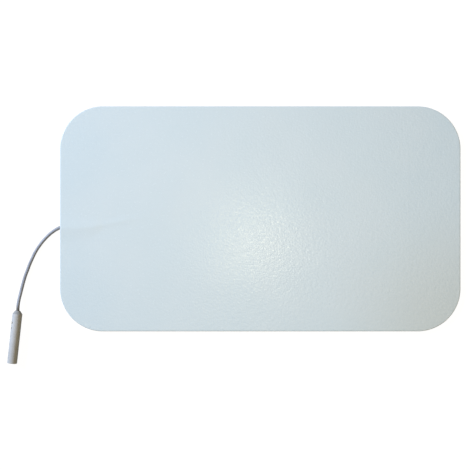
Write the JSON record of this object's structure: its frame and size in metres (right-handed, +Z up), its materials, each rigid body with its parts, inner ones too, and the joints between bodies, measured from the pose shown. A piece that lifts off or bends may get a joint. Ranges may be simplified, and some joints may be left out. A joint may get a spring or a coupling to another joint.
{
  "type": "tens electrode pad",
  "caption": "Large rounded-rectangle stick-on electrode pad: white foam backing, carbon film and hydrogel face, with a short grey pigtail lead ending in a moulded 2 mm pin socket.",
  "frame": {"origin": "centre of the pad's gel face, on the surface that the pad lies on, with the lead and connector left out", "axes": "+X along the pad's length, away from the edge that the lead leaves; +Y across the pad; +Z up, out of the foam backing"},
  "size_m": [0.2013, 0.1144, 0.0043],
  "materials": {
    "white_foam": "pebbled closed-cell foam with a slight satin shine",
    "carbon_film": "smooth black carbon-loaded film",
    "clear_gel": "clear wet-looking sticky gel",
    "grey_jacket": "soft satin PVC",
    "tinned_copper": "tinned copper wire",
    "light_grey_moulding": "smooth satin moulding",
    "nickel_plate": "nickel-plated brass"
  },
  "bodies": {
    "root": {"backing_foam": "white_foam", "conductive_film": "carbon_film", "hydrogel": "clear_gel", "lead_wire": "grey_jacket", "strand_1": "tinned_copper", "strand_2": "tinned_copper", "strand_3": "tinned_copper", "strand_4": "tinned_copper", "strand_5": "tinned_copper", "strand_6": "tinned_copper", "strand_7": "tinned_copper", "connector_sleeve": "light_grey_moulding", "pin_socket": "nickel_plate"}
  },
  "joints": []
}
